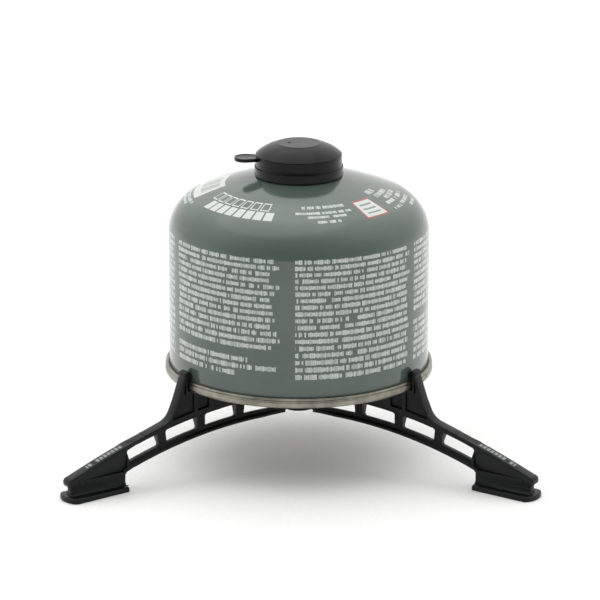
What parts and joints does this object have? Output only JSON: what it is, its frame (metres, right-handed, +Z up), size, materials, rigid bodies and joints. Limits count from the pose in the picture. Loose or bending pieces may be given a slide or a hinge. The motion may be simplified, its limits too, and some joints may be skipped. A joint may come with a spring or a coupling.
{
  "type": "gas canister on folding stand",
  "caption": "Capped screw-valve gas canister of the domed camping size, clipped by its rim into a folding three-leg plastic stand.",
  "frame": {"origin": "on the canister's axis, on the ground between the three feet", "axes": "+Z up along the canister's axis, +Y along the rear leg, -Y between the two front legs, +X to the right seen from the front"},
  "size_m": [0.1928, 0.1783, 0.1318],
  "materials": {
    "nylon": "black glass-filled nylon, fine moulded grain",
    "enamel": "grey-green baked enamel, semi-gloss, printed",
    "tinplate": "bare tinplate, satin",
    "polyethylene": "black polyethylene, soft sheen",
    "zinc_steel": "zinc-plated steel",
    "spring_steel": "stainless spring wire",
    "acetal": "natural acetal",
    "rubber": "black nitrile rubber",
    "compound": "grey seam compound"
  },
  "bodies": {
    "stand": {"leg_rear": "nylon", "hub_rivet": "zinc_steel", "rivet_washer": "zinc_steel"},
    "left_leg": {"leg_left": "nylon"},
    "right_leg": {"leg_right": "nylon"},
    "canister": {"canister_shell": "enamel", "canister_base": "tinplate", "seam_compound": "compound", "valve_cup": "tinplate", "cup_gasket": "rubber", "valve_housing": "acetal", "stem_gasket": "rubber", "stem_spring": "spring_steel"},
    "stem": {"valve_stem": "acetal"},
    "cap_body": {"cap": "polyethylene"}
  },
  "joints": [
    {"name": "left_leg_fold", "type": "hinge", "parent": "stand", "child": "left_leg", "pos_m": [0, 0, 0.0235], "axis": [0, 0, 1], "range_deg": [-107, 0]},
    {"name": "right_leg_fold", "type": "hinge", "parent": "stand", "child": "right_leg", "pos_m": [0, 0, 0.0235], "axis": [0, 0, 1], "range_deg": [0, 107]},
    {"name": "canister_lift", "type": "slide", "parent": "stand", "child": "canister", "axis": [0, 0, 1], "range_m": [0, 0.12]},
    {"name": "cap_pull", "type": "slide", "parent": "canister", "child": "cap_body", "axis": [0, 0, 1], "range_m": [0, 0.04]},
    {"name": "stem_press", "type": "slide", "parent": "canister", "child": "stem", "axis": [0, 0, -1], "range_m": [0, 0.0015], "stiffness_N_per_m": 1500, "springref_m": -0.003, "deforming": ["stem_spring"]}
  ]
}
